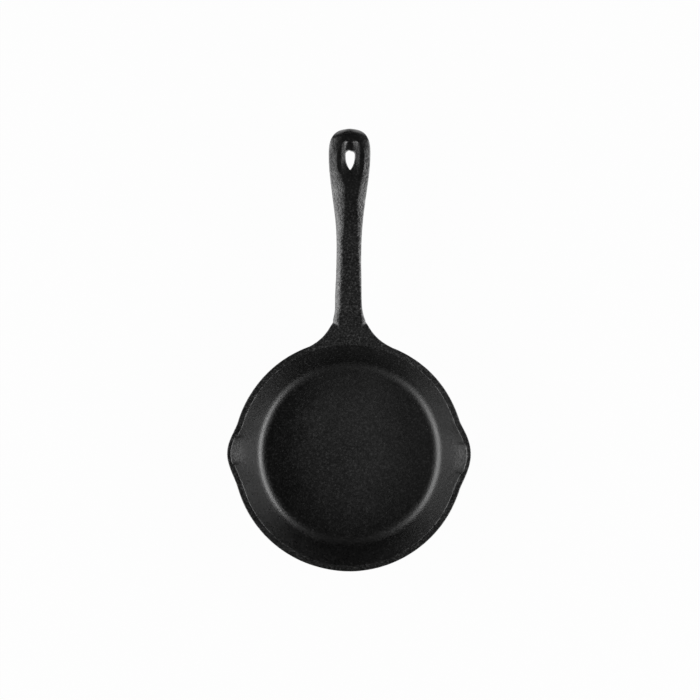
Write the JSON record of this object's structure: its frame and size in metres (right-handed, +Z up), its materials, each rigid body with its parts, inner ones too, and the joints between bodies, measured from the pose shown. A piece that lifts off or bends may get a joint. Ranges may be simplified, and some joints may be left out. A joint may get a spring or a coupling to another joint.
{
  "type": "cast iron skillet",
  "caption": "Small round cast iron skillet with flared wall, pouring lips on both sides and a long raised handle ending in a teardrop hanging hole.",
  "frame": {"origin": "centre of the pan on the plane of its base", "axes": "+Z up along the pan's axis, +Y along the handle towards its tip, +X and -X through the pouring lips"},
  "size_m": [0.1682, 0.3042, 0.0468],
  "materials": {
    "seasoned_cast_iron": "sand-cast grain under a black oil seasoning, satin"
  },
  "bodies": {
    "root": {"cooking_floor": "seasoned_cast_iron", "side_wall": "seasoned_cast_iron", "rim_band": "seasoned_cast_iron", "left_pour_lip": "seasoned_cast_iron", "right_pour_lip": "seasoned_cast_iron", "handle_root": "seasoned_cast_iron", "handle_grip": "seasoned_cast_iron", "hanging_eye": "seasoned_cast_iron"}
  },
  "joints": []
}
